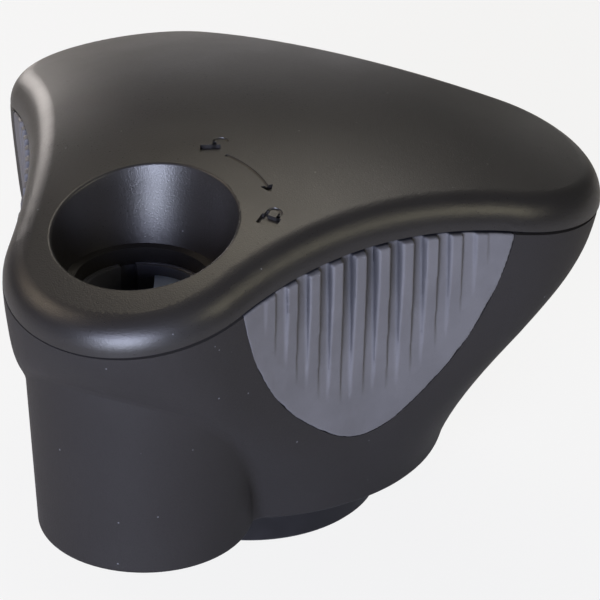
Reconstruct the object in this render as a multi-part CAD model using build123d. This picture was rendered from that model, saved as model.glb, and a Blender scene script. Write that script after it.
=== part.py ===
"""Three-lobed clamping knob with a lock socket in one lobe.

Millimetres, +Z up. The origin is the centre of the hub collar's clamping face, and the lobe
with the lock socket points to -Y. Each piece goes to parts/NAME.step.
"""
from build123d import *
import os
from math import atan2, copysign, cos, degrees, hypot, radians, sin, sqrt

# Plan outline: three lobe arcs joined by three concave side arcs, all tangent.
LOBE_RADIUS = 14.65
TIP_RADIUS = 39.05          # from the knob's axis to the end of a lobe
SIDE_RADIUS = 24.8          # from the axis to the middle of a concave side
LOCK_LOBE = -90.0           # direction of the lobe with the socket
FREE_LOBES = (30.0, 150.0)
SIDES = {"right": -30.0, "rear": 90.0, "left": 210.0}

# The crown and the parting line below it are spheres of one radius.
DOME_RADIUS = 100.6
CROWN_TOP = 46.85
COVER_EDGE = 3.1            # height of the cover's edge, from the crown to the parting
PARTING_TOP = CROWN_TOP - COVER_EDGE
PARTING_EDGE = 36.0         # height of the parting at the ends of the lobes
OVERRUN = 1.0               # how far cutters, and pieces that are joined, run past a face

# Top cover
COVER_SIDE_RADIUS = 24.25   # the cover's sides stand in, so that the ends of the pads' ribs show
COVER_ROUNDING = 3.9
COVER_WALL = 2.2
SKIRT_WIDTH = 1.6

# Lock well in the cover, and the boss below it
LOCK_AXIS = 24.1            # from the knob's axis to the socket's axis
WELL_RADIUS = 10.0          # at the height WELL_MOUTH
WELL_MOUTH = 43.9
WELL_FLOOR = 37.1
WELL_FLOOR_RADIUS = 8.35
WELL_WALL = 1.8
WELL_HOLE_RADIUS = 7.3
WELL_RIM_ROUNDING = 0.4
CUP_BOTTOM = 35.1
BOSS_BOTTOM_RADIUS = 11.8
BOSS_TOP_RADIUS = 12.9      # at the height BOSS_DRAFT_TOP
BOSS_DRAFT_TOP = 30.0
BOSS_TOP = 33.0

# Body: upright lobed walls that meet a flared underside, which runs down into the round hub
BODY_BOTTOM = 7.6
HUB_RADIUS = 22.1
SIDE_DRAFT = 0.045          # how fast the sides lean in below PARTING_EDGE, per millimetre
TIP_DRAFT = 0.17
FLARE_RATE = 0.235          # the underside's reach beyond the hub, one millimetre up
FLARE_POWER = 1.34
FLARE_PINCH = 1.2           # how much less the underside flares towards the sides
BLEND = 33                  # how sharply the walls turn into the underside
BODY_WALL = 3.2
BODY_FLOOR = BODY_BOTTOM + 3.0
BOTTOM_ROUNDING = 0.6
CREASE_ROUNDING = 1.5       # where the boss leaves the lobe
GROOVE_HEIGHT = 0.35        # shadow groove under the cover
GROOVE_DEPTH = 0.6          # from the cover's edge
SEAT_BOTTOM = PARTING_EDGE - 1.5
LIP_HEIGHT = 0.7            # the lip inside the cover's skirt
FIT_GAP = 0.1
FORM_TOP = 50.0             # the body's form runs on past the parting, to be cut there
SECTION_COUNT = 15          # sections of the body's form up to the parting
SECTION_POINTS = 48         # points round a section

# Inside the body
HUB_TUBE_RADIUS = 13.2
HUB_ROOF = 22.0
HUB_TOP = 25.0
STUD_ESCAPE_RADIUS = 4.6
RIB_THICKNESS = 2.2
CATCH_WIDTH = 9.0
CATCH_DEPTH = 1.3
CATCH_BOTTOM, CATCH_TOP = 31.0, 33.5
HOOK_WIDTH = 7.0
HOOK_THICKNESS = 1.6
HOOK_BARB = 0.9
HOOK_BARB_HEIGHT = 2.0
HOOK_LEAD = 0.8             # chamfer under the barb

# Grip pads in the concave sides
PAD_THICKNESS = 1.9
PAD_BOTTOM = 17.2
PAD_EDGE = ((6.2, 20.1), (11.4, 25.1), (15.0, 31.1), (17.3, 38.5))   # half width and height, upwards
PAD_SHOULDER = 18.0         # half width at the crown's height, outside the body
GRIP_GROOVES = 11
GRIP_PITCH = 2.98
GRIP_GROOVE_WIDTH = 1.3     # at the pad's face
GRIP_GROOVE_FLOOR = 0.8
GRIP_GROOVE_DEPTH = 1.25    # at the top, in the middle of a pad
GRIP_GROOVE_END = 22.7      # height at which the middle groove runs out
GRIP_CUTTER = (-2.5, 3.0)   # ends of the grooves' cutters, measured from the pad's face

# Lock socket sleeve and the half-moon stop in it
SLEEVE_RADIUS = 8.5
SLEEVE_BORE = 6.4
SLEEVE_LOWER_BORE = 5.3
SLEEVE_LEDGE = 30.3
SLEEVE_LIP_RADIUS = 7.2
SLEEVE_LIP_TOP = 36.8
KEYWAY_ANGLE = 133.0
KEYWAY_WIDTH = 1.8
KEYWAY_RADIUS = 7.4
STOP_TOP = 34.3
STOP_ANGLE = 27.0
STOP_OFFSET = 1.0
STOP_CLEARANCE = 0.05

# Hub collar, which carries the captive nut
COLLAR_RADIUS = 14.85
COLLAR_CHAMFER = 0.3
SPIGOT_FLATS = 19.0
SPIGOT_CLEARANCE = 0.1
SPIGOT_TOP = HUB_ROOF
NUT_SEAT = 15.0
NUT_FLATS = 13.0
NUT_HEIGHT = 6.8
NUT_THREAD_RADIUS = 3.4
NUT_CHAMFER_RADIUS = 4.2
NUT_BEVEL = (0.55, 0.95)    # of its corners, along the axis and inwards
STUD_CLEARANCE_RADIUS = 4.3


def polar(radius, angle):
    """Point at a radius and an angle in degrees."""
    return (radius * cos(radians(angle)), radius * sin(radians(angle)))


def side_arc(tip=TIP_RADIUS, side=SIDE_RADIUS):
    """Centre distance and radius of an outline's side arcs, from their tangency with the lobes.

    The radius is negative where the sides bulge out.
    """
    lobe = tip - LOBE_RADIUS
    rise = LOBE_RADIUS - side
    centre = (lobe ** 2 - rise ** 2) / (lobe + 2 * rise)
    return centre, centre - side


def tangent_point(lobe_angle, side_angle, tip=TIP_RADIUS, side=SIDE_RADIUS):
    """Point where the arc of a lobe meets the arc of the side next to it."""
    centre, radius = side_arc(tip, side)
    lobe = Vector(*polar(tip - LOBE_RADIUS, lobe_angle))
    middle = Vector(*polar(centre, side_angle))
    return lobe + (middle - lobe) * (LOBE_RADIUS / (LOBE_RADIUS + radius))


def trefoil(inset, side):
    """Face of the plan outline with a given reach of the sides, set in by a distance."""
    edges = []
    shrink = (LOBE_RADIUS - inset) / LOBE_RADIUS
    for lobe in (LOCK_LOBE, LOCK_LOBE + 120, LOCK_LOBE + 240):
        middle = Vector(*polar(TIP_RADIUS - LOBE_RADIUS, lobe))
        ends = [middle + (tangent_point(lobe, lobe + step, side=side) - middle) * shrink for step in (-60, 60)]
        edges.append(ThreePointArc(ends[0], polar(TIP_RADIUS - inset, lobe), ends[1]))
        following = Vector(*polar(TIP_RADIUS - LOBE_RADIUS, lobe + 120))
        start = following + (tangent_point(lobe + 120, lobe + 60, side=side) - following) * shrink
        edges.append(ThreePointArc(ends[1], polar(side - inset, lobe + 60), start))
    return make_face(edges)


def cover_prism(inset):
    """Upright prism of the cover's outline, from below the parting to above the crown."""
    height = CROWN_TOP + OVERRUN - SEAT_BOTTOM
    return Pos(0, 0, SEAT_BOTTOM) * extrude(trefoil(inset, COVER_SIDE_RADIUS), amount=height)


def dome(apex):
    """Ball whose top is the crown's curve at a given apex height."""
    return Pos(0, 0, apex - DOME_RADIUS) * Sphere(DOME_RADIUS)


def from_lobe(angle):
    """Turn from the nearest lobe's middle, 0 to 60 degrees."""
    return abs((angle - LOCK_LOBE + 60) % 120 - 60)


def wall_radius(angle, tip, side):
    """Reach of a lobed outline in one direction."""
    centre, radius = side_arc(tip, side)
    turn = from_lobe(angle)
    tangent = tangent_point(0, 60, tip, side)
    if turn < degrees(atan2(tangent.Y, tangent.X)):
        lobe = tip - LOBE_RADIUS
        return lobe * cos(radians(turn)) + sqrt(LOBE_RADIUS ** 2 - (lobe * sin(radians(turn))) ** 2)
    depth = sqrt(radius ** 2 - (centre * sin(radians(60 - turn))) ** 2)
    return centre * cos(radians(60 - turn)) - copysign(depth, radius)


def underside_radius(angle, height):
    """Reach of the flared underside in one direction."""
    pinch = 1 - FLARE_PINCH * (1 - cos(radians(from_lobe(angle))))
    return HUB_RADIUS + FLARE_RATE * pinch * max(height - BODY_BOTTOM, 0) ** FLARE_POWER


def body_radius(angle, height):
    """Reach of the body's outer form: its walls and its underside, blended into each other."""
    drop = max(PARTING_EDGE - height, 0)
    wall = wall_radius(angle, TIP_RADIUS - TIP_DRAFT * drop, SIDE_RADIUS - SIDE_DRAFT * drop)
    return (wall ** -BLEND + underside_radius(angle, height) ** -BLEND) ** (-1 / BLEND)


def section(height, reach):
    """Horizontal section with a given reach in each direction. Its seam is on a free lobe."""
    angles = [FREE_LOBES[0] + index * 360 / SECTION_POINTS for index in range(SECTION_POINTS)]
    outline = Spline([polar(reach(angle), angle) for angle in angles], periodic=True)
    return Pos(0, 0, height) * make_face(outline)


def body_form(inset=0.0, bottom=BODY_BOTTOM):
    """The body's outer form, set in by a wall, from a height up through the parting."""
    step = (PARTING_TOP - bottom) / SECTION_COUNT
    heights = [bottom + step * index for index in range(SECTION_COUNT + 1)] + [FORM_TOP]
    return loft([section(z, lambda angle: body_radius(angle, z) - inset) for z in heights])


def boss_form(inset, bottom, top):
    """Tapered boss round the lock socket."""
    slope = (BOSS_TOP_RADIUS - BOSS_BOTTOM_RADIUS) / (BOSS_DRAFT_TOP - BODY_BOTTOM)
    low, high = (BOSS_BOTTOM_RADIUS + slope * (z - BODY_BOTTOM) - inset for z in (bottom, top))
    return Pos(0, -LOCK_AXIS, (bottom + top) / 2) * Cone(low, high, top - bottom)


def lock_cylinder(radius, bottom, top):
    """Cylinder on the socket's axis."""
    return Pos(0, -LOCK_AXIS, (bottom + top) / 2) * Cylinder(radius, top - bottom)


def hub_cylinder(radius, bottom, top):
    """Cylinder on the knob's axis."""
    return Pos(0, 0, (bottom + top) / 2) * Cylinder(radius, top - bottom)


def hexagon(flats, bottom, top):
    """Hexagonal prism on the knob's axis, by its width across flats."""
    return Pos(0, 0, bottom) * extrude(RegularPolygon(flats / 2, 6, major_radius=False), top - bottom)


def block(angle, low_radius, high_radius, width, bottom, top):
    """Upright block between two radii in one direction."""
    middle = (low_radius + high_radius) / 2
    box = Box(high_radius - low_radius, width, top - bottom)
    return Rot(0, 0, angle) * Pos(middle, 0, (bottom + top) / 2) * box


def well_cone(wall, bottom, top):
    """Cone of the lock well, with a wall added outside."""
    slope = (WELL_RADIUS - WELL_FLOOR_RADIUS) / (WELL_MOUTH - WELL_FLOOR)
    low, high = (WELL_FLOOR_RADIUS + slope * (z - WELL_FLOOR) + wall for z in (bottom, top))
    return Pos(0, -LOCK_AXIS, (bottom + top) / 2) * Cone(low, high, top - bottom)


def snap_hook(angle):
    """Leg under the cover whose barb catches below the body's catch."""
    outer = body_radius(angle, CATCH_TOP) - BODY_WALL - CATCH_DEPTH - 2 * FIT_GAP
    high = CATCH_BOTTOM - FIT_GAP
    low = high - HOOK_BARB_HEIGHT
    leg = block(angle, outer - HOOK_THICKNESS, outer, HOOK_WIDTH, low, CROWN_TOP)
    barb = block(angle, outer - HOOK_THICKNESS, outer + HOOK_BARB, HOOK_WIDTH, low, high)
    lower = barb.edges().filter_by_position(Axis.Z, low, low)
    lead = lower.sort_by(lambda edge: hypot(edge.center().X, edge.center().Y))[-1]
    return leg + chamfer(lead, HOOK_LEAD)


def top_cover():
    """Domed cover with the lock well, a skirt over the body's lip, and three snap hooks."""
    blank = cover_prism(0) & dome(CROWN_TOP)
    crown = blank.faces().sort_by(Axis.Z)[-1]
    shell = fillet(crown.edges(), COVER_ROUNDING) - dome(PARTING_TOP)
    shell -= cover_prism(SKIRT_WIDTH) & dome(CROWN_TOP - COVER_WALL)
    joined = dome(CROWN_TOP - COVER_WALL / 2)
    shell += well_cone(WELL_WALL, CUP_BOTTOM, CROWN_TOP) & joined
    for angle in SIDES.values():
        shell += snap_hook(angle) & joined
    shell -= well_cone(0, WELL_FLOOR, CROWN_TOP + OVERRUN)
    shell -= lock_cylinder(WELL_HOLE_RADIUS, CUP_BOTTOM - OVERRUN, WELL_FLOOR + OVERRUN)
    crown = shell.faces().sort_by(Axis.Z)[-1]
    return fillet(crown.inner_wires()[0].edges(), WELL_RIM_ROUNDING)


def pad_window(angle):
    """Tongue-shaped prism through one concave side, open at the top."""
    left = [(-half, height) for half, height in reversed(PAD_EDGE)]
    sides = Spline(left + [(0, PAD_BOTTOM)] + list(PAD_EDGE))
    top = Polyline(PAD_EDGE[-1], (PAD_SHOULDER, CROWN_TOP), (-PAD_SHOULDER, CROWN_TOP), left[0])
    plane = Plane(origin=(0, 0, 0), x_dir=(*polar(1, angle + 90), 0), z_dir=(*polar(1, angle), 0))
    return extrude(plane * make_face([sides, top]), amount=TIP_RADIUS)


def pad_blank(angle, outer, inner):
    """The pad before its grooves: the body's skin inside the window."""
    return (pad_window(angle) & outer) - inner


def groove_floors():
    """Form that the floors of all the grip grooves lie on.

    It is scooped deeper into the sides than the body, and leans out downwards, so that the
    grooves are deepest at the top and run out into the pads' lower ends.
    """
    deepest = SIDE_RADIUS - GRIP_GROOVE_DEPTH
    lean = body_radius(SIDES["rear"], GRIP_GROOVE_END) - deepest
    lean /= PARTING_TOP - GRIP_GROOVE_END
    outline = lambda angle: wall_radius(angle, TIP_RADIUS + GRIP_GROOVE_DEPTH, deepest)
    return loft([section(z, lambda angle: outline(angle) + lean * (PARTING_TOP - z))
                 for z in (BODY_BOTTOM, FORM_TOP)])


def grip_grooves(angle, floors):
    """Cutter for the upright grooves in one pad."""
    slope = (GRIP_GROOVE_WIDTH - GRIP_GROOVE_FLOOR) / (2 * GRIP_GROOVE_DEPTH)
    centre, radius = side_arc()
    slots = []
    for index in range(GRIP_GROOVES):
        across = (index - (GRIP_GROOVES - 1) / 2) * GRIP_PITCH
        face = centre - sqrt(radius ** 2 - across ** 2)
        ends = [(face + run, GRIP_GROOVE_WIDTH / 2 + slope * run) for run in GRIP_CUTTER]
        (near, narrow), (far, wide) = ends
        slot = Polyline((near, across - narrow), (far, across - wide), (far, across + wide),
                        (near, across + narrow), close=True)
        slots.append(extrude(make_face(slot), amount=CROWN_TOP))
    return Rot(0, 0, angle) * Compound(slots) - floors


def body_skin():
    """Outer form with the lock boss, its crease and bottom edge rounded, up to the shadow groove."""
    skin = body_form() & dome(PARTING_TOP - GROOVE_HEIGHT)
    skin += boss_form(0, BODY_BOTTOM, BOSS_TOP)
    beside_boss = skin.edges().filter_by(lambda edge: edge.center().Y < -LOCK_AXIS)
    crease = beside_boss.filter_by(lambda edge: BODY_FLOOR < edge.center().Z < BOSS_TOP)
    skin = fillet(crease, CREASE_ROUNDING)
    return fillet(skin.edges().filter_by_position(Axis.Z, BODY_BOTTOM, BODY_BOTTOM), BOTTOM_ROUNDING)


def body_shell(skin):
    """Skin with the seat and the lip for the cover, hollowed from above."""
    shell = skin + (cover_prism(GROOVE_DEPTH) & dome(PARTING_TOP))
    shell += cover_prism(SKIRT_WIDTH + FIT_GAP) & dome(PARTING_TOP + LIP_HEIGHT)
    return shell - body_form(BODY_WALL, BODY_FLOOR)


def inner_structure():
    """Hub tube, ribs, catches and the socket's tube, before the bores."""
    low = BODY_FLOOR - OVERRUN
    parts = hub_cylinder(HUB_TUBE_RADIUS, low, HUB_TOP)
    for angle in SIDES.values():
        wall = body_radius(angle, CATCH_TOP) - BODY_WALL
        parts += block(angle, 0, wall + OVERRUN, RIB_THICKNESS, low, HUB_ROOF)
        parts += block(angle, wall - CATCH_DEPTH, wall + OVERRUN, CATCH_WIDTH, CATCH_BOTTOM, CATCH_TOP)
    parts += boss_form(0, low, CUP_BOTTOM)
    return parts


def body(skin, pads):
    """Moulded body: three-lobed shell that runs down into a round hub and the lock boss."""
    solid = body_shell(skin) + (inner_structure() & body_form(BODY_WALL / 2))
    solid -= hexagon(SPIGOT_FLATS + 2 * SPIGOT_CLEARANCE, BODY_BOTTOM - OVERRUN, HUB_ROOF)
    solid -= hub_cylinder(STUD_ESCAPE_RADIUS, HUB_ROOF - OVERRUN, HUB_TOP + OVERRUN)
    solid -= lock_cylinder(SLEEVE_RADIUS + FIT_GAP / 2, BODY_FLOOR, CROWN_TOP)
    for pad in pads:
        solid -= pad
    return solid


def lock_socket():
    """Sleeve in the boss: a lip, a keyed bore and a ledge for the stop."""
    sleeve = lock_cylinder(SLEEVE_RADIUS, BODY_FLOOR, CUP_BOTTOM)
    sleeve += lock_cylinder(SLEEVE_LIP_RADIUS, CUP_BOTTOM - OVERRUN, SLEEVE_LIP_TOP)
    sleeve -= lock_cylinder(SLEEVE_LOWER_BORE, BODY_FLOOR - OVERRUN, CROWN_TOP)
    sleeve -= lock_cylinder(SLEEVE_BORE, SLEEVE_LEDGE, CROWN_TOP)
    keyway = block(KEYWAY_ANGLE, 0, KEYWAY_RADIUS, KEYWAY_WIDTH, SLEEVE_LEDGE, CROWN_TOP)
    return sleeve - Pos(0, -LOCK_AXIS, 0) * keyway


def socket_stop():
    """Half-moon plate on the sleeve's ledge."""
    disc = lock_cylinder(SLEEVE_BORE - STOP_CLEARANCE, SLEEVE_LEDGE, STOP_TOP)
    keep = block(STOP_ANGLE, STOP_OFFSET, TIP_RADIUS, 2 * TIP_RADIUS, SLEEVE_LEDGE, STOP_TOP)
    return disc & Pos(0, -LOCK_AXIS, 0) * keep


def hub_collar():
    """Collar under the hub, with a hexagonal spigot and the nut's pocket."""
    collar = hub_cylinder(COLLAR_RADIUS, 0, BODY_BOTTOM)
    collar = chamfer(collar.edges().sort_by(Axis.Z)[0], COLLAR_CHAMFER)
    collar += hexagon(SPIGOT_FLATS, BODY_BOTTOM, SPIGOT_TOP)
    collar -= hexagon(NUT_FLATS + 2 * FIT_GAP, NUT_SEAT, SPIGOT_TOP + OVERRUN)
    return collar - hub_cylinder(STUD_CLEARANCE_RADIUS, -OVERRUN, NUT_SEAT + OVERRUN)


def hex_nut():
    """M8 nut with chamfered corners and mouths; its bore is the thread's core."""
    top = NUT_SEAT + NUT_HEIGHT
    turned = Pos(0, 0, (NUT_SEAT + top) / 2) * Cylinder(NUT_FLATS / sqrt(3), NUT_HEIGHT)
    turned = chamfer(turned.edges().filter_by(GeomType.CIRCLE), *NUT_BEVEL)
    nut = hexagon(NUT_FLATS, NUT_SEAT, top) & turned
    nut -= hub_cylinder(NUT_THREAD_RADIUS, NUT_SEAT - OVERRUN, top + OVERRUN)
    depth = NUT_CHAMFER_RADIUS - NUT_THREAD_RADIUS
    for low, high, base in ((NUT_CHAMFER_RADIUS, NUT_THREAD_RADIUS, NUT_SEAT),
                            (NUT_THREAD_RADIUS, NUT_CHAMFER_RADIUS, top - depth)):
        nut -= Pos(0, 0, base + depth / 2) * Cone(low, high, depth)
    return nut


def build():
    """All pieces by name."""
    skin = body_skin()
    inner = body_form(PAD_THICKNESS)
    floors = groove_floors()
    blanks = {side: pad_blank(angle, skin, inner) for side, angle in SIDES.items()}
    pieces = {"top_cover": top_cover(), "body": body(skin, blanks.values())}
    for side, angle in SIDES.items():
        pieces["grip_pad_" + side] = blanks[side] - grip_grooves(angle, floors)
    pieces["lock_socket"] = lock_socket()
    pieces["socket_stop"] = socket_stop()
    pieces["hub_collar"] = hub_collar()
    pieces["hex_nut"] = hex_nut()
    return pieces


os.makedirs("parts", exist_ok=True)
for name, piece in build().items():
    export_step(piece, "parts/" + name + ".step")
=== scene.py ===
"""Finishes, engraved signs, screw thread and studio for the three-lobed clamping knob.

Everything is in metres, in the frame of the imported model: +Z up, the hub collar's clamping face
at Z = 0, and the lobe with the lock well towards -Y.
"""
import logging
import math
from collections.abc import Iterator
from contextlib import contextmanager
from dataclasses import dataclass, field
from enum import Enum
from functools import partial

import bpy
from mathutils import Matrix, Vector

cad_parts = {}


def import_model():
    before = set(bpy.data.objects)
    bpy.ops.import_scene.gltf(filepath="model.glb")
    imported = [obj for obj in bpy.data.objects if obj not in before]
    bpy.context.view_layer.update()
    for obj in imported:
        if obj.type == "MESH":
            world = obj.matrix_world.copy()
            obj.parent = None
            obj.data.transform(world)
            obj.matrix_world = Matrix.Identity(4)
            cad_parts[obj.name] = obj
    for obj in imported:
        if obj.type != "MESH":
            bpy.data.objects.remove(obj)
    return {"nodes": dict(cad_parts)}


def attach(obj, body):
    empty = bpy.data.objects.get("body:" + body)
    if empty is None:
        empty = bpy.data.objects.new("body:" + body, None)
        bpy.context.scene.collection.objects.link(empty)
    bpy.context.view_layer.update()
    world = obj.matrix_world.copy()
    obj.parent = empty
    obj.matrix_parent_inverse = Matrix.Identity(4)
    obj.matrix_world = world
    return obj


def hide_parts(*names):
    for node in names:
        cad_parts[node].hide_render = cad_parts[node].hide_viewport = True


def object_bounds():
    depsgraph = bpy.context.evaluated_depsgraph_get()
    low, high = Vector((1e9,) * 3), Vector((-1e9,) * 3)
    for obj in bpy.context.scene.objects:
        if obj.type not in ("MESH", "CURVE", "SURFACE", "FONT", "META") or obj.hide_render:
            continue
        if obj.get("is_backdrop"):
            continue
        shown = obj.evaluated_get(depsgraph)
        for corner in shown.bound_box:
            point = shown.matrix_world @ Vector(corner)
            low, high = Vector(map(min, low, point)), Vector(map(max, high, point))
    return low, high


LOG = logging.getLogger("knob")
MM = 0.001
BODY = "root"
LOCK_AXIS = (0.0, -24.1 * MM)   # in plan, of the lock well and of the signs' long arc
MERGE_DISTANCE = 0.0005 * MM    # vertices nearer than this are one
SMOOTH_ANGLE = 30.0             # sharper edges, in degrees, stay sharp on a hard piece
SOFT_ANGLE = 80.0               # and on a soft one
TRIANGLE = 3                    # corners
IMAGE_SIDE = 600                # pixels
WHITE = (1, 1, 1, 1)

Colour = tuple[float, float, float]
LinearColour = tuple[float, float, float, float]
Span = tuple[float, float]


# ---------------------------------------------------------------- shader maths


class Value:
    """One output of a shader node, on which Python arithmetic adds Math nodes."""

    def __init__(self, graph: "Graph", socket: bpy.types.NodeSocket) -> None:
        """Wrap a socket.

        Args:
            graph: The node graph that the socket is in.
            socket: The output socket.
        """
        self.graph = graph
        self.socket = socket

    def _math(self, operation: str, first: "Value | float", second: "Value | float") -> "Value":
        """Add a Math node and return its output."""
        return self.graph.node("ShaderNodeMath", {"operation": operation}, {0: first, 1: second})

    def __add__(self, other: "Value | float") -> "Value":
        """Sum."""
        return self._math("ADD", self, other)

    def __radd__(self, other: float) -> "Value":
        """Sum with a number on the left."""
        return self._math("ADD", other, self)

    def __sub__(self, other: "Value | float") -> "Value":
        """Difference."""
        return self._math("SUBTRACT", self, other)

    def __rsub__(self, other: float) -> "Value":
        """Difference from a number on the left."""
        return self._math("SUBTRACT", other, self)

    def __mul__(self, other: "Value | float") -> "Value":
        """Product."""
        return self._math("MULTIPLY", self, other)


class Graph:
    """The node tree of one material, with short calls for the nodes that the finishes use."""

    def __init__(self, name: str) -> None:
        """Make an empty material.

        Args:
            name: The material's name.
        """
        self.material = bpy.data.materials.new(name)
        self.material.use_nodes = True
        self.tree = self.material.node_tree
        self.tree.nodes.clear()

    def node(self, kind: str, settings: dict | None = None, inputs: dict | None = None,
             output: int | str = 0) -> Value:
        """Add a node, set it up, feed its sockets and return one output.

        Args:
            kind: The node's type name.
            settings: Properties to set first, such as operation.
            inputs: Values or links, by the socket's name or number.
            output: Name or number of the output wanted.

        Returns:
            The wrapped output socket.
        """
        node = self.tree.nodes.new(kind)
        for key, value in (settings or {}).items():
            setattr(node, key, value)
        for key, value in (inputs or {}).items():
            self._feed(node.inputs[key], value)
        return Value(self, node.outputs[output])

    def _feed(self, socket: bpy.types.NodeSocket, value: object) -> None:
        """Link a wrapped output to an input socket, or set the socket to a constant.

        Args:
            socket: The input socket.
            value: The wrapped output or the constant.
        """
        if isinstance(value, Value):
            self.tree.links.new(value.socket, socket)
        else:
            socket.default_value = value

    def position(self) -> Value:
        """Object coordinates, in metres."""
        return self.node("ShaderNodeTexCoord", output="Object")

    def noise(self, size: float, detail: float, roughness: float) -> Value:
        """Noise whose cells are about a size across, from 0 to 1.

        Args:
            size: Cell size in metres.
            detail: Octaves.
            roughness: Share of the finer octaves.

        Returns:
            The noise value.
        """
        inputs = {"Vector": self.position(), "Scale": 1 / size, "Detail": detail, "Roughness": roughness}
        return self.node("ShaderNodeTexNoise", None, inputs, "Fac")

    def cells(self, size: float) -> Value:
        """Distance to the nearest of a scatter of points about a size apart."""
        inputs = {"Vector": self.position(), "Scale": 1 / size}
        return self.node("ShaderNodeTexVoronoi", None, inputs, "Distance")

    def ramp(self, value: Value, low: float, high: float) -> Value:
        """Smooth step from 0 at low to 1 at high.

        Args:
            value: The value to step.
            low: Where the step begins.
            high: Where it ends. Below low, it makes a step that falls as the value grows.

        Returns:
            The step.
        """
        settings = {"interpolation_type": "SMOOTHSTEP"}
        inputs = {"Value": value, "From Min": low, "From Max": high}
        return self.node("ShaderNodeMapRange", settings, inputs)

    def mix(self, factor: Value, first: Value | LinearColour, second: Value | LinearColour) -> Value:
        """Mix two colours.

        Args:
            factor: How much of the second colour there is, from 0 to 1.
            first: The first colour.
            second: The second colour.

        Returns:
            The mixed colour.
        """
        node = self.tree.nodes.new("ShaderNodeMix")
        node.data_type = "RGBA"
        sockets = {"Factor": factor, "A": first, "B": second}
        for socket in node.inputs:
            if socket.enabled and socket.name in sockets:
                self._feed(socket, sockets[socket.name])
        return Value(self, next(socket for socket in node.outputs if socket.enabled))

    def bump(self, height: Value, depth: float) -> Value:
        """Normal disturbed by a height of 0 to 1, where 1 stands for a depth in metres."""
        return self.node("ShaderNodeBump", None, {"Height": height, "Distance": depth}, "Normal")

    def finish(self, inputs: dict) -> bpy.types.Material:
        """Close the graph with a Principled surface of given values and links."""
        return self.close(self.node("ShaderNodeBsdfPrincipled", None, inputs))

    def close(self, surface: Value) -> bpy.types.Material:
        """Close the graph with any surface.

        Args:
            surface: The shader.

        Returns:
            The material.
        """
        output = self.tree.nodes.new("ShaderNodeOutputMaterial")
        self.tree.links.new(surface.socket, output.inputs["Surface"])
        return self.material


def rgba(red: float, green: float, blue: float) -> LinearColour:
    """Linear colour from three sRGB values of 0 to 255."""
    def linear(value: float) -> float:
        """Linear value, by the curve of the sRGB standard."""
        share = value / 255
        return share / 12.92 if share <= 0.04045 else ((share + 0.055) / 1.055) ** 2.4
    return (linear(red), linear(green), linear(blue), 1.0)


def shade(colour: Colour, share: float, lift: float = 0.0) -> LinearColour:
    """Linear colour of an sRGB one that is scaled by a share and then lifted, up to white."""
    return rgba(*(min(value * share + lift, 255) for value in colour))


# ---------------------------------------------------------------- finishes


@dataclass(frozen=True)
class Noise:
    """A noise pattern.

    Fields give the size of its cells in metres, its octaves and the share of the finer ones, and
    the span of its values that is stretched to 0 to 1, if any is.
    """

    size: float
    detail: float = 2.0
    roughness: float = 0.5
    span: Span | None = None

    def on(self, graph: Graph) -> Value:
        """Add the pattern to a graph."""
        value = graph.noise(self.size, self.detail, self.roughness)
        return graph.ramp(value, *self.span) if self.span else value


@dataclass(frozen=True)
class Dust:
    """Sparse round flecks.

    Fields give the mean distance between them, in metres, their colour in sRGB of 0 to 255, how
    much they cover, the largest fleck's radius and the share of a radius that has no soft edge.
    """

    spacing: float
    colour: Colour
    cover: float
    radius: float = 0.13 * MM
    core: float = 0.5

    def over(self, graph: Graph, tone: Value) -> Value:
        """Strew the flecks over a tone.

        Args:
            graph: The material's graph.
            tone: The colour below the flecks.

        Returns:
            The colour with the flecks.
        """
        clear = graph.ramp(graph.cells(self.spacing), self.core * self.radius / self.spacing,
                           self.radius / self.spacing)
        return graph.mix((1 - clear) * self.cover, tone, rgba(*self.colour))


@dataclass(frozen=True)
class GrainedPlastic:
    """Moulded plastic with a spark-eroded grain.

    Fields give the colour in sRGB of 0 to 255, the roughness and the specular level; the grain,
    its depth in metres and the share of a coarser noise in its height; the grain values that
    count as peaks, how much paler they are painted as glints and how much smoother they are; the
    values that count as pits and how much these darken; the slow cloud and how far it shifts the
    tone and the roughness; and the dust.
    """

    name: str
    colour: Colour
    roughness: float = 0.5
    specular: float = 0.5
    grain: Noise = Noise(0.18 * MM, 3, 0.6)
    grain_depth: float = 0.03 * MM
    coarse: Noise = Noise(0.468 * MM)
    coarse_share: float = 0.12
    peaks: Span = (0.56, 0.74)
    painted_glint: float = 0.16
    peak_polish: float = 0.1
    pits: Span = (0.46, 0.3)
    pit_shade: float = 0.5
    cloud: Noise = Noise(9 * MM, 3, 0.55, (0.3, 0.7))
    drift: float = 0.12
    roughness_drift: float = 0.05
    dust: Dust = Dust(3.0 * MM, (190, 192, 200), 0.3)

    def build(self) -> bpy.types.Material:
        """Make the material.

        Returns:
            The material.
        """
        graph = Graph(self.name)
        paler, darker = shade(self.colour, 1.18, lift=3), shade(self.colour, 0.84)
        cloud = self.cloud.on(graph)
        grain = self.grain.on(graph)
        peaks = graph.ramp(grain, *self.peaks)
        tone = graph.mix(cloud * self.drift, rgba(*self.colour), paler)
        # Painted glints: the grain's peaks are made paler in colour.
        tone = graph.mix(peaks * self.painted_glint, tone, paler)
        tone = graph.mix(graph.ramp(grain, *self.pits) * self.pit_shade, tone, darker)
        rough = self.roughness + (cloud - 0.5) * self.roughness_drift - peaks * self.peak_polish
        height = grain * (1 - self.coarse_share) + self.coarse.on(graph) * self.coarse_share
        inputs = {"Base Color": self.dust.over(graph, tone), "Roughness": rough,
                  "Specular IOR Level": self.specular, "Normal": graph.bump(height, self.grain_depth)}
        return graph.finish(inputs)


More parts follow.
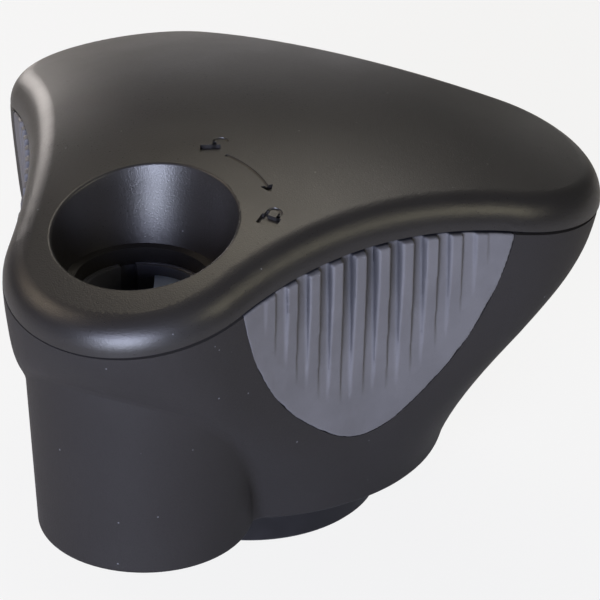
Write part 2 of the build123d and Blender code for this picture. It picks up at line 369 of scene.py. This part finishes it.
@dataclass(frozen=True)
class SoftGrip:
    """Satin soft-touch rubber with a fine dull skin, dust, and painted shade in its grooves.

    Fields give the colour in sRGB of 0 to 255, the roughness and the specular level; the skin,
    its depth in metres, the values that count as pits and how much these darken; the slow cloud
    and how far it shifts the tone and the roughness; the dust; and the painted shade's colour, how
    far it looks for walls round a point, how open a point is where the painted shade begins and
    where it is full, and its samples.
    """

    name: str
    colour: Colour
    roughness: float = 0.52
    specular: float = 0.3
    skin: Noise = Noise(0.16 * MM, 3, 0.6)
    skin_depth: float = 0.006 * MM
    pits: Span = (0.45, 0.3)
    pit_shade: float = 0.3
    cloud: Noise = Noise(5 * MM, 3, 0.6, (0.3, 0.7))
    drift: float = 0.5
    roughness_drift: float = 0.08
    dust: Dust = Dust(3.2 * MM, (215, 218, 228), 0.35)
    painted_shade_colour: Colour = (30, 31, 38)
    painted_shade_reach: float = 2.2 * MM
    painted_shade_from: Span = (0.85, 0.3)
    painted_shade_samples: int = 8

    def build(self) -> bpy.types.Material:
        """Make the material.

        Returns:
            The material.
        """
        graph = Graph(self.name)
        cloud = self.cloud.on(graph)
        skin = self.skin.on(graph)
        tone = graph.mix(cloud * self.drift, rgba(*self.colour), shade(self.colour, 1.1, lift=2))
        tone = graph.mix(graph.ramp(skin, *self.pits) * self.pit_shade, tone, shade(self.colour, 0.85))
        tone = self.dust.over(graph, tone)
        # Painted shade: the tone darkens where nearby walls close a point in, as in the grooves and under
        # the cover's edge.
        open_share = graph.node("ShaderNodeAmbientOcclusion", {"samples": self.painted_shade_samples},
                                {"Distance": self.painted_shade_reach}, "AO")
        tone = graph.mix(graph.ramp(open_share, *self.painted_shade_from), tone, rgba(*self.painted_shade_colour))
        rough = self.roughness + (cloud - 0.5) * self.roughness_drift
        inputs = {"Base Color": tone, "Roughness": rough, "Specular IOR Level": self.specular,
                  "Normal": graph.bump(skin, self.skin_depth)}
        return graph.finish(inputs)


@dataclass(frozen=True)
class SmoothPlastic:
    """Smooth moulded plastic of a part that is hardly seen.

    Fields give the colour in sRGB of 0 to 255 and the roughness; the slow cloud and how far it
    shifts the tone and the roughness; and the surface's ripple and its depth in metres.
    """

    name: str
    colour: Colour
    roughness: float = 0.4
    cloud: Noise = Noise(3 * MM, 3, 0.6, (0.35, 0.7))
    drift: float = 0.4
    roughness_drift: float = 0.12
    ripple: Noise = Noise(0.9 * MM, 2, 0.4)
    ripple_depth: float = 0.006 * MM

    def build(self) -> bpy.types.Material:
        """Make the material.

        Returns:
            The material.
        """
        graph = Graph(self.name)
        cloud = self.cloud.on(graph)
        tone = graph.mix(cloud * self.drift, rgba(*self.colour), shade(self.colour, 1.15, lift=3))
        inputs = {"Base Color": tone,
                  "Roughness": self.roughness + (cloud - 0.5) * self.roughness_drift,
                  "Normal": graph.bump(self.ripple.on(graph), self.ripple_depth)}
        return graph.finish(inputs)


@dataclass(frozen=True)
class PlatedSteel:
    """Zinc-plated steel with fine drawing marks.

    Fields give the colour in sRGB of 0 to 255 and the least roughness; the slow cloud and how far
    it shifts the tone and the roughness; and the marks and their depth in metres.
    """

    name: str
    colour: Colour = (196, 196, 188)
    roughness: float = 0.3
    cloud: Noise = Noise(1.6 * MM, 4, 0.6, (0.3, 0.75))
    drift: float = 0.6
    roughness_drift: float = 0.15
    marks: Noise = Noise(0.12 * MM)
    marks_depth: float = 0.004 * MM

    def build(self) -> bpy.types.Material:
        """Make the material.

        Returns:
            The material.
        """
        graph = Graph(self.name)
        cloud = self.cloud.on(graph)
        tone = graph.mix(cloud * self.drift, rgba(*self.colour), shade(self.colour, 0.8))
        inputs = {"Base Color": tone, "Metallic": 1.0,
                  "Roughness": self.roughness + cloud * self.roughness_drift,
                  "Normal": graph.bump(self.marks.on(graph), self.marks_depth)}
        return graph.finish(inputs)


Finish = GrainedPlastic | SoftGrip | SmoothPlastic | PlatedSteel


# ---------------------------------------------------------------- camera and studio


def direction(azimuth: float, elevation: float) -> Vector:
    """Unit vector at an azimuth, from -Y towards +X, and an elevation, both in degrees."""
    turn, rise = math.radians(azimuth), math.radians(elevation)
    return Vector((math.sin(turn) * math.cos(rise), -math.cos(turn) * math.cos(rise), math.sin(rise)))


@dataclass
class Viewpoint:
    """The camera.

    Fields give the direction from which it looks and its roll, in degrees, its place, its focal
    length in pixels of the image, its sensor's width in millimetres, and the range it sees.
    """

    azimuth: float = 27.003
    elevation: float = 29.192
    roll: float = 0.556
    place: tuple[float, float, float] = (0.1722, -0.3253, 0.2285)
    focal_pixels: float = 3738.0
    sensor: float = 36.0
    clip: Span = (0.01, 20)

    def build(self) -> None:
        """Add the camera and make it the scene's."""
        turn, roll = math.radians(self.azimuth), math.radians(self.roll)
        back = direction(self.azimuth, self.elevation)
        right = Vector((math.cos(turn), math.sin(turn), 0))
        up = back.cross(right)
        across = right * math.cos(roll) + up * math.sin(roll)
        upward = up * math.cos(roll) - right * math.sin(roll)
        data = bpy.data.cameras.new("camera")
        data.sensor_width = self.sensor
        data.lens = self.focal_pixels / IMAGE_SIDE * self.sensor
        data.clip_start, data.clip_end = self.clip
        camera = bpy.data.objects.new("camera", data)
        camera.matrix_world = Matrix((across, upward, back)).transposed().to_4x4()
        camera.location = self.place
        bpy.context.scene.collection.objects.link(camera)
        bpy.context.scene.camera = camera


@dataclass(frozen=True)
class Lamp:
    """A soft oval lamp.

    Fields give where it stands, in degrees, its width and height in metres, its power in watts,
    its colour and its distance in metres.
    """

    name: str
    azimuth: float
    elevation: float
    width: float
    height: float
    power: float
    colour: Colour
    distance: float = 0.7

    def build(self, centre: Vector) -> None:
        """Add the lamp.

        Args:
            centre: What it points at.
        """
        away = direction(self.azimuth, self.elevation)
        data = bpy.data.lights.new(self.name, "AREA")
        data.shape, data.size, data.size_y = "ELLIPSE", self.width, self.height
        data.energy, data.color = self.power, self.colour
        lamp = bpy.data.objects.new(self.name, data)
        lamp.location = centre + away * self.distance
        lamp.rotation_mode = "QUATERNION"
        lamp.rotation_quaternion = away.to_track_quat("Z", "Y")
        bpy.context.scene.collection.objects.link(lamp)


@dataclass
class Studio:
    """Pale floor, plain world and soft lamps.

    Fields give the floor's half width, how far below the object it lies, its grey, how white it
    looks to the camera, how much light the world gives, and how white it looks in reflections.
    """

    floor_half: float = 3.0
    floor_gap: float = 0.02 * MM
    floor_grey: float = 0.86
    floor_white: float = 0.85
    world_strength: float = 0.02
    gloss_share: float = 0.06
    lamps: tuple[Lamp, ...] = (
        Lamp("key_low", 12, 8, 0.32, 0.22, 3.3, (0.77, 0.84, 1.0)),
        Lamp("key_high", 12, 16, 0.42, 0.24, 2.9, (0.66, 0.70, 1.0)),
        Lamp("left_fill", -70, 40, 0.36, 0.36, 0.85, (1.0, 0.82, 0.6)),
        Lamp("right_fill", 87, 32, 0.24, 0.24, 0.60, (1.0, 0.92, 0.66)),
        Lamp("back_graze", 207, 6, 0.22, 0.22, 0.08, (1.0, 0.97, 1.0)),
        Lamp("back_right", 185, 8, 0.22, 0.22, 0.06, (1.0, 0.97, 0.93)),
        Lamp("back_left", 230, 8, 0.22, 0.22, 0.72, (1.0, 0.93, 0.89)),
        Lamp("back_warm", 190, 52, 0.24, 0.24, 0.36, (1.0, 0.94, 0.85)),
        Lamp("back_high", 215, 60, 0.30, 0.30, 0.50, (1.0, 0.9, 0.7)),
    )

    def build(self, centre: Vector) -> None:
        """Add the floor, the world and the lamps.

        Args:
            centre: The middle of the object, which the lamps point at.
        """
        self._floor()
        self._world()
        for lamp in self.lamps:
            lamp.build(centre)

    def _floor(self) -> None:
        """Add the floor, which looks nearly white to the camera and keeps the object's shadow."""
        bpy.ops.object.select_all(action="DESELECT")
        bpy.ops.mesh.primitive_plane_add(size=2 * self.floor_half, location=(0, 0, -self.floor_gap))
        floor = bpy.context.active_object
        floor.name = "floor"
        graph = Graph("floor")
        grey = (self.floor_grey, self.floor_grey, self.floor_grey, 1)
        diffuse = graph.node("ShaderNodeBsdfDiffuse", None, {"Color": grey}, "BSDF")
        white = graph.node("ShaderNodeEmission", None, {"Color": WHITE, "Strength": 1.0}, "Emission")
        seen = graph.node("ShaderNodeLightPath", None, None, "Is Camera Ray")
        shaders = {0: seen * self.floor_white, 1: diffuse, 2: white}
        surface = graph.node("ShaderNodeMixShader", None, shaders, "Shader")
        floor.data.materials.append(graph.close(surface))
        floor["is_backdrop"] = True

    def _world(self) -> None:
        """Light faintly from all round, and look white to the camera and partly in reflections."""
        world = bpy.data.worlds.new("studio")
        bpy.context.scene.world = world
        world.use_nodes = True
        tree = world.node_tree
        tree.nodes.clear()
        path, gloss, seen, soft, white, mix, output = (tree.nodes.new(f"ShaderNode{kind}") for kind in (
            "LightPath", "Math", "Math", "Background", "Background", "MixShader", "OutputWorld"))
        gloss.operation, seen.operation = "MULTIPLY_ADD", "ADD"
        gloss.inputs[1].default_value = self.gloss_share
        for background, strength in ((soft, self.world_strength), (white, 1.0)):
            background.inputs["Color"].default_value = WHITE
            background.inputs["Strength"].default_value = strength
        links = (
            (path.outputs["Is Glossy Ray"], gloss.inputs[0]),
            (path.outputs["Is Camera Ray"], gloss.inputs[2]),
            (gloss.outputs[0], seen.inputs[0]),
            (path.outputs["Is Transmission Ray"], seen.inputs[1]),
            (seen.outputs[0], mix.inputs[0]),
            (soft.outputs[0], mix.inputs[1]),
            (white.outputs[0], mix.inputs[2]),
            (mix.outputs[0], output.inputs["Surface"]),
        )
        for start, end in links:
            tree.links.new(start, end)


# ---------------------------------------------------------------- modelling steps


def select_only(piece: bpy.types.Object) -> None:
    """Select one object and make it the active one.

    Args:
        piece: The object.
    """
    bpy.ops.object.select_all(action="DESELECT")
    piece.select_set(True)
    bpy.context.view_layer.objects.active = piece


@contextmanager
def editing(piece: bpy.types.Object) -> Iterator[None]:
    """Stay in edit mode for a while, with all of an object's mesh selected.

    Args:
        piece: The object.
    """
    select_only(piece)
    bpy.ops.object.mode_set(mode="EDIT")
    bpy.ops.mesh.select_all(action="SELECT")
    yield
    bpy.ops.object.mode_set(mode="OBJECT")


def merged_copy(node: bpy.types.Object, name: str) -> bpy.types.Object:
    """Copy a carried-over node and join its loose triangles.

    Args:
        node: The node's object.
        name: The copy's name.

    Returns:
        The copy.
    """
    copy = bpy.data.objects.new(name, node.data.copy())
    bpy.context.scene.collection.objects.link(copy)
    with editing(copy):
        bpy.ops.mesh.remove_doubles(threshold=MERGE_DISTANCE)
        bpy.ops.mesh.customdata_custom_splitnormals_clear()
    return copy


def apply_modifier(piece: bpy.types.Object, kind: str, **settings: object) -> None:
    """Add a modifier, set it up and apply it.

    Args:
        piece: The object.
        kind: The modifier's type, such as BOOLEAN.
        **settings: The modifier's properties.
    """
    select_only(piece)
    modifier = piece.modifiers.new(kind.title(), kind)
    for key, value in settings.items():
        setattr(modifier, key, value)
    bpy.ops.object.modifier_apply(modifier=modifier.name)


def carve(piece: bpy.types.Object, cutter: bpy.types.Object) -> None:
    """Cut one object with another, which is then removed."""
    apply_modifier(piece, "BOOLEAN", operation="DIFFERENCE", solver="EXACT", object=cutter)
    bpy.data.objects.remove(cutter)


def tidy_mesh(piece: bpy.types.Object) -> None:
    """Join doubled vertices and dissolve edges and faces of no size.

    Args:
        piece: The object.
    """
    with editing(piece):
        bpy.ops.mesh.remove_doubles(threshold=MERGE_DISTANCE)
        bpy.ops.mesh.dissolve_degenerate(threshold=MERGE_DISTANCE)


def smooth(piece: bpy.types.Object, angle: float) -> None:
    """Shade smooth, apart from edges sharper than an angle in degrees."""
    select_only(piece)
    bpy.ops.object.shade_smooth_by_angle(angle=math.radians(angle))


def keep_side(piece: bpy.types.Object, normal: tuple[float, float, float]) -> None:
    """Cut a mesh by a plane through the origin, close it, and keep the side the normal points to.

    Args:
        piece: The object.
        normal: The plane's normal.
    """
    with editing(piece):
        bpy.ops.mesh.bisect(plane_co=(0, 0, 0), plane_no=normal, use_fill=True, clear_inner=True,
                            threshold=MERGE_DISTANCE)


def settle(piece: bpy.types.Object) -> None:
    """Put an object's place, turn and scale into its mesh."""
    select_only(piece)
    bpy.ops.object.transform_apply(location=True, rotation=True, scale=True)


# ---------------------------------------------------------------- the knob


class Sign(Enum):
    """What an engraved sign shows."""

    CLOSED_LOCK = "closed_lock"
    OPEN_LOCK = "open_lock"


@dataclass
class TopCover:
    """The domed cover, with its signs engraved beside the lock well.

    Fields are in metres, and angles in degrees. crown_radius is the radius of the sphere that
    the crown is part of, and a vertex within crown_slack of it belongs to the crown. Each
    padlock sign has its place in plan and its turn. The long arc runs about the lock's axis, and
    its arrow head stands at arrow_angle. The cutters reach above over the crown.
    """

    node: bpy.types.Object
    crown_radius: float = 100.6 * MM
    crown_slack: float = 0.02 * MM
    stroke: float = 0.42 * MM
    depth: float = 0.45 * MM
    above: float = 1.0 * MM
    locks: tuple[tuple[Sign, tuple[float, float], float], ...] = (
        (Sign.OPEN_LOCK, (0.35 * MM, -9.7 * MM), 27.0),
        (Sign.CLOSED_LOCK, (11.9 * MM, -18.2 * MM), 2.0),
    )
    lock_width: float = 2.2 * MM
    lock_height: float = 1.6 * MM
    shackle_radius: float = 0.68 * MM
    shackle_leg: float = 0.6 * MM
    shackle_swing: float = 1.1 * MM
    shackle_from: float = -1.0
    arc_radius: float = 14.2 * MM
    arc_from: float = 50.0
    arc_to: float = 80.0
    arc_segments: int = 128
    stroke_segments: int = 12
    arrow_angle: float = 49.0
    arrow_size: float = 0.85 * MM

    def build(self) -> bpy.types.Object:
        """Engrave a copy of the cover.

        Returns:
            The finished cover, which replaces the node.
        """
        cover = merged_copy(self.node, "cover_engraved")
        crown_centre = max(vertex.co.z for vertex in cover.data.vertices) - self.crown_radius
        for cutter in self._cutters():
            settle(cutter)
            self._lift(cutter, crown_centre)
            carve(cover, cutter)
        tidy_mesh(cover)
        smooth(cover, SMOOTH_ANGLE)
        self._true_crown(cover, crown_centre)
        return cover

    def _lift(self, cutter: bpy.types.Object, crown_centre: float) -> None:
        """Lift a cutter from height 0 onto the crown, and bend it to follow the crown.

        Args:
            cutter: The cutter.
            crown_centre: Height of the sphere's centre.
        """
        for vertex in cutter.data.vertices:
            reach = math.hypot(vertex.co.x, vertex.co.y)
            vertex.co.z += crown_centre + math.sqrt(self.crown_radius ** 2 - reach ** 2)

    def _true_crown(self, cover: bpy.types.Object, crown_centre: float) -> None:
        """Give the crown's faces the normals of its sphere, undisturbed by the cuts.

        Args:
            cover: The engraved cover.
            crown_centre: Height of the sphere's centre.
        """
        mesh = cover.data
        centre = Vector((0, 0, crown_centre))
        arms = [vertex.co - centre for vertex in mesh.vertices]
        on_crown = [abs(arm.length - self.crown_radius) < self.crown_slack and arm.z > 0 for arm in arms]
        normals = [corner.vector.copy() for corner in mesh.corner_normals]
        for polygon in mesh.polygons:
            if all(on_crown[index] for index in polygon.vertices) and polygon.normal.z > 0:
                for corner, vertex in zip(polygon.loop_indices, polygon.vertices):
                    normals[corner] = arms[vertex].normalized()
        mesh.normals_split_custom_set(normals)

    def _cutters(self) -> list[bpy.types.Object]:
        """Make every cutter, in plan, with the crown at height 0.

        Returns:
            The cutters.
        """
        cutters = [self._arc(self.arc_radius, self.arc_from, self.arc_to, LOCK_AXIS), self._arrow_head()]
        for sign, place, turn in self.locks:
            cutters += self._lock(sign, place, turn)
        return cutters

    def _arc(self, radius: float, start: float, end: float, centre: tuple[float, float]) -> bpy.types.Object:
        """Round-bottomed stroke along an arc in plan, of half a turn at most.

        Args:
            radius: The arc's radius.
            start: Angle of its first end, in degrees.
            end: Angle of its last end.
            centre: The arc's centre.

        Returns:
            The cutter.
        """
        bpy.ops.object.select_all(action="DESELECT")
        bpy.ops.mesh.primitive_torus_add(major_radius=radius, minor_radius=self.stroke / 2,
                                         major_segments=self.arc_segments,
                                         minor_segments=self.stroke_segments)
        cutter = bpy.context.active_object
        first, last = math.radians(start), math.radians(end)
        keep_side(cutter, (-math.sin(first), math.cos(first), 0))
        if end - start < 180:
            keep_side(cutter, (math.sin(last), -math.cos(last), 0))
        cutter.location = (*centre, 0)
        return cutter

    def _arrow_head(self) -> bpy.types.Object:
        """Three-cornered recess at the first end of the long arc.

        Returns:
            The cutter.
        """
        angle = math.radians(self.arrow_angle)
        place = [middle + self.arc_radius * part
                 for middle, part in zip(LOCK_AXIS, (math.cos(angle), math.sin(angle)))]
        bpy.ops.object.select_all(action="DESELECT")
        bpy.ops.mesh.primitive_cylinder_add(vertices=TRIANGLE, radius=self.arrow_size,
                                            depth=self.above + self.depth,
                                            location=(*place, (self.above - self.depth) / 2))
        cutter = bpy.context.active_object
        cutter.rotation_euler.z = angle + math.pi
        return cutter

    def _lock(self, sign: Sign, place: tuple[float, float], turn: float) -> list[bpy.types.Object]:
        """Padlock sign: a body and a shackle, which stands to one side where it is open.

        Args:
            sign: Which padlock.
            place: Middle of its body, in plan.
            turn: How far it is turned, in degrees.

        Returns:
            The cutters.
        """
        aside = self.shackle_swing if sign is Sign.OPEN_LOCK else 0.0
        bend = self.lock_height / 2 + self.shackle_leg
        legs = (-1, 1) if sign is Sign.CLOSED_LOCK else (-1,)
        pieces = [self._block((0, 0), self.lock_width, self.lock_height)]
        pieces += [self._block((side * self.shackle_radius + aside, bend - self.shackle_leg / 2),
                               self.stroke, self.shackle_leg) for side in legs]
        pieces.append(self._arc(self.shackle_radius, self.shackle_from, self.shackle_from + 180,
                                (aside, bend)))
        placed = Matrix.Translation((*place, 0)) @ Matrix.Rotation(math.radians(turn), 4, "Z")
        for piece in pieces:
            own = Matrix.Translation(piece.location) @ Matrix.Diagonal((*piece.scale, 1))
            piece.matrix_world = placed @ own
        return pieces

    def _block(self, place: tuple[float, float], width: float, height: float) -> bpy.types.Object:
        """Flat-bottomed oblong recess.

        Args:
            place: Its middle, in plan.
            width: Its size across.
            height: Its size up the sign.

        Returns:
            The cutter.
        """
        bpy.ops.object.select_all(action="DESELECT")
        bpy.ops.mesh.primitive_cube_add(size=1, location=(*place, (self.above - self.depth) / 2))
        cutter = bpy.context.active_object
        cutter.scale = (width, height, self.above + self.depth)
        return cutter


@dataclass
class GripPad:
    """One ribbed pad, with its grooves opened to their full width and its rib edges softened.

    Fields give the direction that the pad faces, in degrees from +X; the node's grooves, their
    pitch and the width of their mouth; how many times wider the mouth becomes, and how far past
    it vertices still move; the remeshing cell; and how strongly and how often it is smoothed.
    """

    node: bpy.types.Object
    facing: float
    grooves: int = 11
    pitch: float = 2.98 * MM
    mouth: float = 1.3 * MM
    widening: float = 1.27
    slack: float = 0.04 * MM
    cell: float = 0.15 * MM
    smoothing: float = 0.5
    smoothing_rounds: int = 3

    def build(self) -> bpy.types.Object:
        """Soften a copy of the pad.

        Returns:
            The finished pad, which replaces the node.
        """
        pad = merged_copy(self.node, self.node.name.replace("grip_pad", "grip_ribs"))
        self._widen(pad)
        apply_modifier(pad, "REMESH", mode="VOXEL", voxel_size=self.cell)
        apply_modifier(pad, "SMOOTH", factor=self.smoothing, iterations=self.smoothing_rounds)
        smooth(pad, SOFT_ANGLE)
        return pad

    def _widen(self, pad: bpy.types.Object) -> None:
        """Move the grooves' walls apart, each groove about its own middle.

        Args:
            pad: The pad.
        """
        turn = math.radians(self.facing)
        across = Vector((-math.sin(turn), math.cos(turn), 0))
        last = (self.grooves - 1) / 2
        for vertex in pad.data.vertices:
            place = vertex.co.dot(across)
            index = max(-last, min(last, round(place / self.pitch)))
            aside = place - index * self.pitch
            if abs(aside) < self.mouth / 2 + self.slack:
                vertex.co += across * aside * (self.widening - 1)


@dataclass
class LockSleeve:
    """The socket's sleeve, with a lower lip and a ring groove round the bore.

    Fields give the height of the shoulder that carries the lip, where the lip's top comes to
    lie, how far over the shoulder a vertex belongs to that top, and the ring groove's radius,
    half width and facets.
    """

    node: bpy.types.Object
    shoulder: float = 35.1 * MM
    lip_top: float = 35.4 * MM
    slack: float = 0.05 * MM
    ring_radius: float = 6.85 * MM
    ring_stroke: float = 0.13 * MM
    ring_segments: int = 96
    stroke_segments: int = 10

    def build(self) -> bpy.types.Object:
        """Lower the lip of a copy of the sleeve, and cut a ring in it.

        Returns:
            The finished sleeve, which replaces the node.
        """
        sleeve = merged_copy(self.node, "lock_sleeve_ringed")
        for vertex in sleeve.data.vertices:
            if vertex.co.z > self.shoulder + self.slack:
                vertex.co.z = self.lip_top
        bpy.ops.object.select_all(action="DESELECT")
        bpy.ops.mesh.primitive_torus_add(major_radius=self.ring_radius, minor_radius=self.ring_stroke,
                                         major_segments=self.ring_segments,
                                         minor_segments=self.stroke_segments,
                                         location=(*LOCK_AXIS, self.lip_top))
        ring = bpy.context.active_object
        settle(ring)
        carve(sleeve, ring)
        tidy_mesh(sleeve)
        smooth(sleeve, SMOOTH_ANGLE)
        return sleeve


@dataclass
class HexNut:
    """The captive nut, with its thread cut.

    Fields give the thread's radii and pitch, the share of the pitch that its groove is wide at
    the core, the cutter's steps in a turn, and how many pitches it begins below the nut and ends
    above it.
    """

    node: bpy.types.Object
    core_radius: float = 3.3 * MM
    outer_radius: float = 4.0 * MM
    pitch: float = 1.25 * MM
    root_share: float = 0.88
    steps: int = 48
    pitches_below: int = 2
    pitches_above: int = 1

    def build(self) -> bpy.types.Object:
        """Cut the thread in a copy of the nut.

        Returns:
            The finished nut, which replaces the node.
        """
        nut = merged_copy(self.node, "hex_nut_threaded")
        heights = [vertex.co.z for vertex in nut.data.vertices]
        low = min(heights) - self.pitches_below * self.pitch
        high = max(heights) + self.pitches_above * self.pitch
        carve(nut, self._thread(low, high))
        smooth(nut, SMOOTH_ANGLE)
        return nut

    def _thread(self, low: float, high: float) -> bpy.types.Object:
        """Sweep the thread's three-cornered profile up a helix.

        Args:
            low: Height at which the profile starts.
            high: Height that it reaches at least.

        Returns:
            The cutter.
        """
        bpy.ops.object.select_all(action="DESELECT")
        bpy.ops.mesh.primitive_circle_add(vertices=TRIANGLE, radius=1, fill_type="NGON")
        cutter = bpy.context.active_object
        half = self.pitch * self.root_share / 2
        profile = (
            (self.core_radius, 0, low - half),
            (self.outer_radius, 0, low),
            (self.core_radius, 0, low + half),
        )
        for vertex, place in zip(cutter.data.vertices, profile):
            vertex.co = place
        turns = math.ceil((high - low) / self.pitch)
        apply_modifier(cutter, "SCREW", axis="Z", screw_offset=self.pitch, iterations=turns,
                       steps=self.steps, render_steps=self.steps, use_merge_vertices=True)
        with editing(cutter):
            bpy.ops.mesh.remove_doubles(threshold=MERGE_DISTANCE)
            bpy.ops.mesh.fill_holes(sides=TRIANGLE)
            bpy.ops.mesh.normals_make_consistent(inside=False)
        return cutter


@dataclass
class Knob:
    """The knob's pieces, what each is finished in, and which way each pad faces in degrees."""

    nodes: dict[str, bpy.types.Object]
    finishes: dict[str, Finish] = field(default_factory=lambda: {
        "top_cover": GrainedPlastic("cover_plastic", (36, 34, 34), 0.36, specular=0.7),
        "body": GrainedPlastic("body_plastic", (48, 46, 46), 0.52, specular=0.25),
        "grip_pads": SoftGrip("grip_rubber", (108, 107, 110)),
        # Painted light: the socket's grey is made much paler than the plastic is, so that its ring looks lit
        # in the well's shade.
        "lock_socket": SmoothPlastic("socket_plastic_painted_light", (80, 81, 90)),
        # Painted light: the stop's pale bluish colour is made much paler than the plastic is, so that it
        # looks lit in the bore's shade.
        "socket_stop": SmoothPlastic("stop_plastic_painted_light", (160, 178, 214)),
        "hub_collar": SmoothPlastic("collar_plastic", (30, 29, 32)),
        "hex_nut": PlatedSteel("nut_steel"),
    })
    pad_facing: dict[str, float] = field(default_factory=lambda: {
        "grip_pad_right": -30.0, "grip_pad_rear": 90.0, "grip_pad_left": 210.0,
    })

    def build(self) -> None:
        """Finish every piece: make the detailed ones, and give each its material."""
        materials = {name: finish.build() for name, finish in self.finishes.items()}
        materials |= {name: materials["grip_pads"] for name in self.pad_facing}
        makers = {"top_cover": TopCover, "lock_socket": LockSleeve, "hex_nut": HexNut}
        makers |= {name: partial(GripPad, facing=facing) for name, facing in self.pad_facing.items()}
        for name, node in self.nodes.items():
            piece = node
            if name in makers:
                piece = makers[name](node).build()
                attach(piece, BODY)
                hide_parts(name)
            piece.data.materials.clear()
            piece.data.materials.append(materials[name])
            LOG.info("%s: %s, %d faces", piece.name, materials[name].name, len(piece.data.polygons))


def main() -> None:
    """Load the model, dress it and set the studio up."""
    logging.basicConfig(level=logging.INFO, format="%(name)s: %(message)s")
    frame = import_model()
    cad_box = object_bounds()
    Viewpoint().build()
    Studio().build((cad_box[0] + cad_box[1]) / 2)
    Knob(frame["nodes"]).build()
    bpy.context.scene.view_settings.view_transform = "Standard"


if __name__ == "__main__":
    main()
